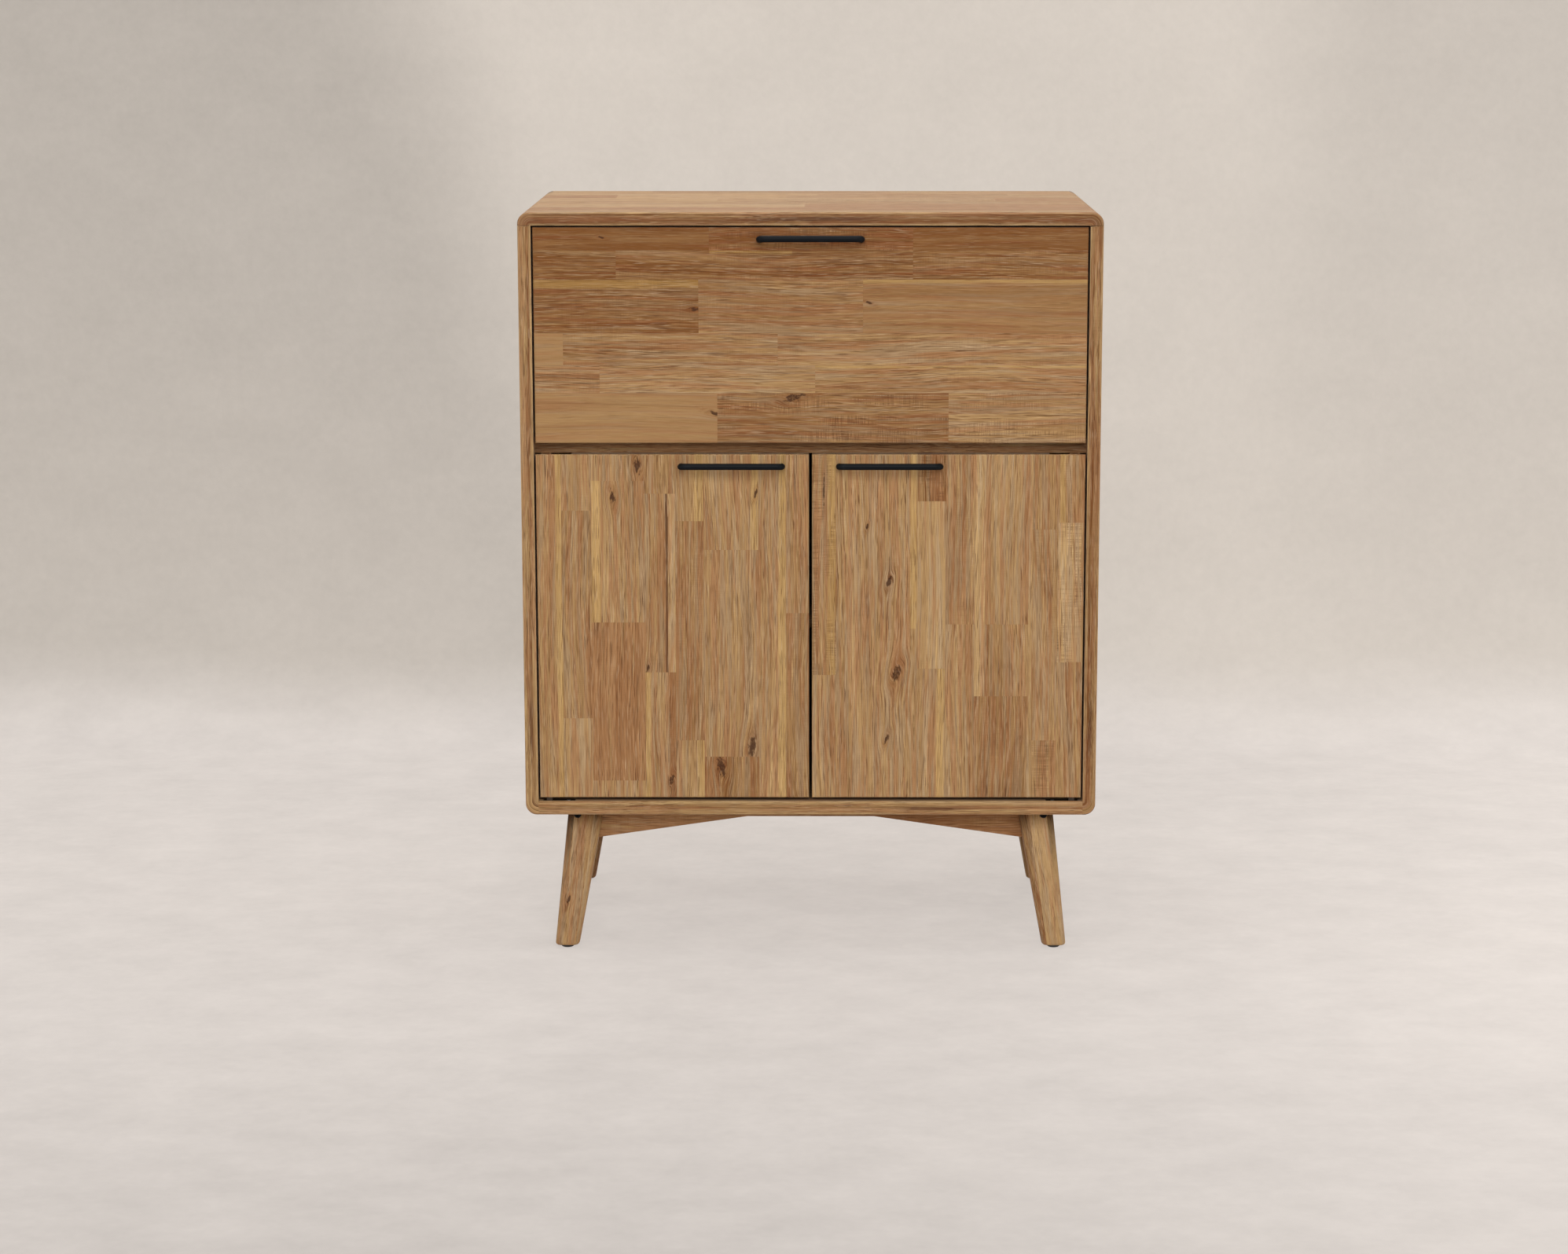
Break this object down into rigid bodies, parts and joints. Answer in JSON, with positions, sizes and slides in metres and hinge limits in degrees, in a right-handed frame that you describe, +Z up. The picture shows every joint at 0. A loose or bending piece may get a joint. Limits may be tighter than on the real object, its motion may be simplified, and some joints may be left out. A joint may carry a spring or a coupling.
{
  "type": "bar cabinet with fold-out shelf",
  "caption": "Free-standing wooden bar cabinet on splayed tapered legs: a drop-down flap that folds out level as a serving shelf, above a pair of hinged doors, with slim black bar pulls.",
  "frame": {"origin": "on the floor, under the middle of the whole object", "axes": "+Z up, the front faces -Y, +X to the right seen from the front"},
  "size_m": [0.8, 0.478, 1.05],
  "materials": {
    "acacia": "oiled, brushed, matt",
    "back_board": "plywood, matt lacquer",
    "tenon_wood": "plain beech",
    "black_metal": "matt black powder coat",
    "black_plastic": "matt",
    "catch_plastic": "matt brown",
    "steel": "zinc plated"
  },
  "bodies": {
    "case": {"top_panel": "acacia", "side_panel_left": "acacia", "side_panel_right": "acacia", "bottom_panel": "acacia", "divider_panel": "acacia", "back_panel": "back_board", "case_tenons": "tenon_wood", "inner_shelf": "acacia", "shelf_cleats": "acacia", "front_rail": "acacia", "back_rail": "acacia", "side_rail_left": "acacia", "side_rail_right": "acacia", "leg_front_left": "acacia", "leg_front_right": "acacia", "leg_back_left": "acacia", "leg_back_right": "acacia", "foot_pads": "black_plastic", "flap_hinge_left_case_leaf": "steel", "flap_hinge_right_case_leaf": "steel", "flap_hinge_pins": "steel", "door_pivot_arm_left": "steel", "door_pivot_arm_right": "steel", "door_pivot_plate_left": "steel", "door_pivot_plate_right": "steel", "stay_studs": "steel", "magnetic_catches": "catch_plastic"},
    "flap": {"fold_out_flap": "acacia", "flap_handle": "black_metal", "flap_hinge_left_flap_leaf": "steel", "flap_hinge_right_flap_leaf": "steel", "stay_brackets": "steel", "flap_strike": "steel"},
    "stay_left": {"stay_bar_left": "steel"},
    "stay_right": {"stay_bar_right": "steel"},
    "door_left": {"door_left": "acacia", "door_left_handle": "black_metal", "door_left_top_pivot": "steel", "door_left_bottom_pivot": "steel", "door_left_strike": "steel"},
    "door_right": {"door_right": "acacia", "door_right_handle": "black_metal", "door_right_top_pivot": "steel", "door_right_bottom_pivot": "steel", "door_right_strike": "steel"}
  },
  "joints": [
    {"name": "flap_fold", "type": "hinge", "parent": "case", "child": "flap", "pos_m": [0, -0.193, 0.7375], "axis": [1, 0, 0], "range_deg": [0, 90]},
    {"name": "stay_left_swing", "type": "hinge", "parent": "flap", "child": "stay_left", "pos_m": [-0.3757, -0.181, 0.9075], "axis": [1, 0, 0], "range_deg": [-45, 0]},
    {"name": "stay_right_swing", "type": "hinge", "parent": "flap", "child": "stay_right", "pos_m": [0.3757, -0.181, 0.9075], "axis": [1, 0, 0], "range_deg": [-45, 0]},
    {"name": "door_left_swing", "type": "hinge", "parent": "case", "child": "door_left", "pos_m": [-0.3665, -0.2035, 0.4735], "axis": [0, 0, -1], "range_deg": [0, 95]},
    {"name": "door_right_swing", "type": "hinge", "parent": "case", "child": "door_right", "pos_m": [0.3665, -0.2035, 0.4735], "axis": [0, 0, 1], "range_deg": [0, 95]}
  ],
  "couplings": [
    {"joint": "stay_left_swing", "follows": "flap_fold", "ratio": -0.5},
    {"joint": "stay_right_swing", "follows": "flap_fold", "ratio": -0.5}
  ]
}
